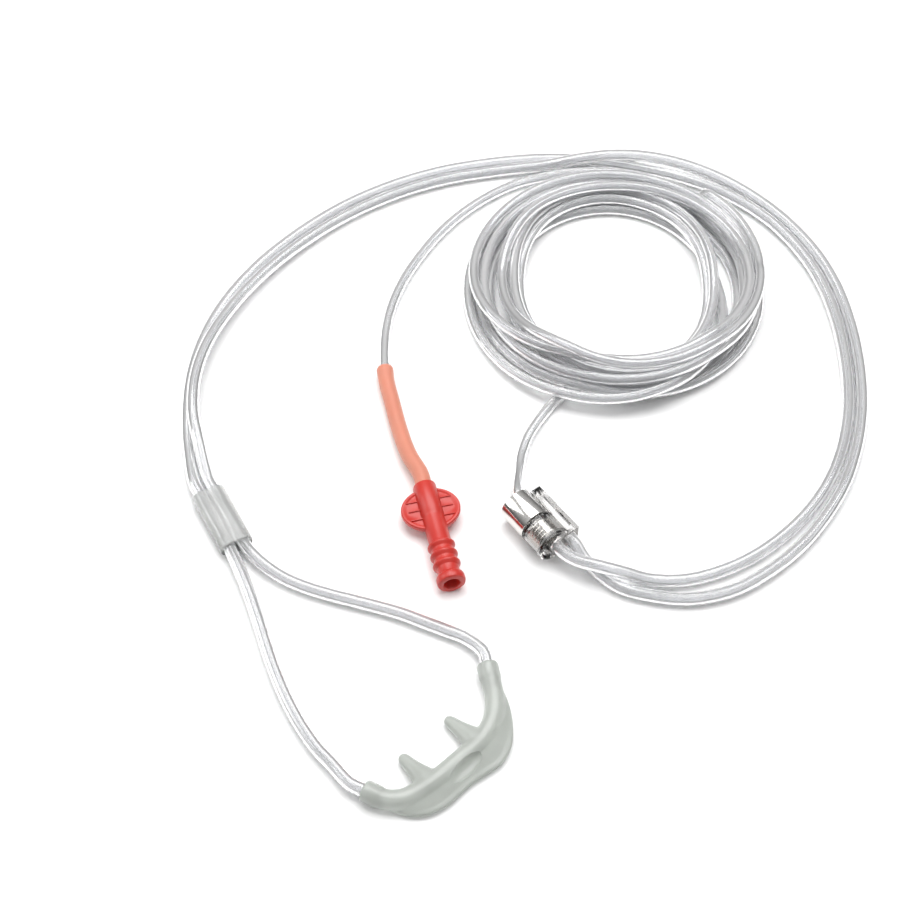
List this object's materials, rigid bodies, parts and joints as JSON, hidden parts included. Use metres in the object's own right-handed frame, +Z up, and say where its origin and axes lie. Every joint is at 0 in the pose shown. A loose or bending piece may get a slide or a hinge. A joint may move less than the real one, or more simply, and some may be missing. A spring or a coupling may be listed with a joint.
{
  "type": "carbon dioxide sampling nasal cannula",
  "caption": "Soft nasal piece with prongs on paired lariat tubes, run through a slider to a chromed union, and a coiled clear sampling line ending in a red ringed connector.",
  "frame": {"origin": "on the surface that the part lies on, under the middle of the box round the nasal piece, slider and union", "axes": "+Z up off the surface, +X from the slider's side towards the coil, +Y away from the nasal piece towards the coil"},
  "size_m": [0.18, 0.2102, 0.0093],
  "materials": {
    "frosted_vinyl": "soft frosted vinyl",
    "slider_vinyl": "frosted vinyl",
    "clear_housing": "clear polished plastic",
    "chromed_band": "bright metallised",
    "chromed_thread": "bright metallised thread",
    "lariat_tube": "clear vinyl tube",
    "sampling_tube": "clear vinyl tube",
    "salmon_sleeve": "translucent matte silicone",
    "red_connector": "moulded plastic, light sheen"
  },
  "bodies": {
    "cannula": {"nasal_piece": "frosted_vinyl", "union_body": "clear_housing", "union_sleeve": "chromed_band", "union_spigot": "chromed_thread", "lariat_tube_left": "lariat_tube", "lariat_tube_right": "lariat_tube", "sample_line_union_end": "sampling_tube", "sample_line_coil": "sampling_tube", "sample_line_connector_end": "sampling_tube", "strain_sleeve": "salmon_sleeve", "connector": "red_connector"},
    "slider": {"slider": "slider_vinyl"}
  },
  "joints": [
    {"name": "slider_slide", "type": "slide", "parent": "cannula", "child": "slider", "axis": [-0.4633, 0.8862, 0], "range_m": [0, 0.004]}
  ]
}
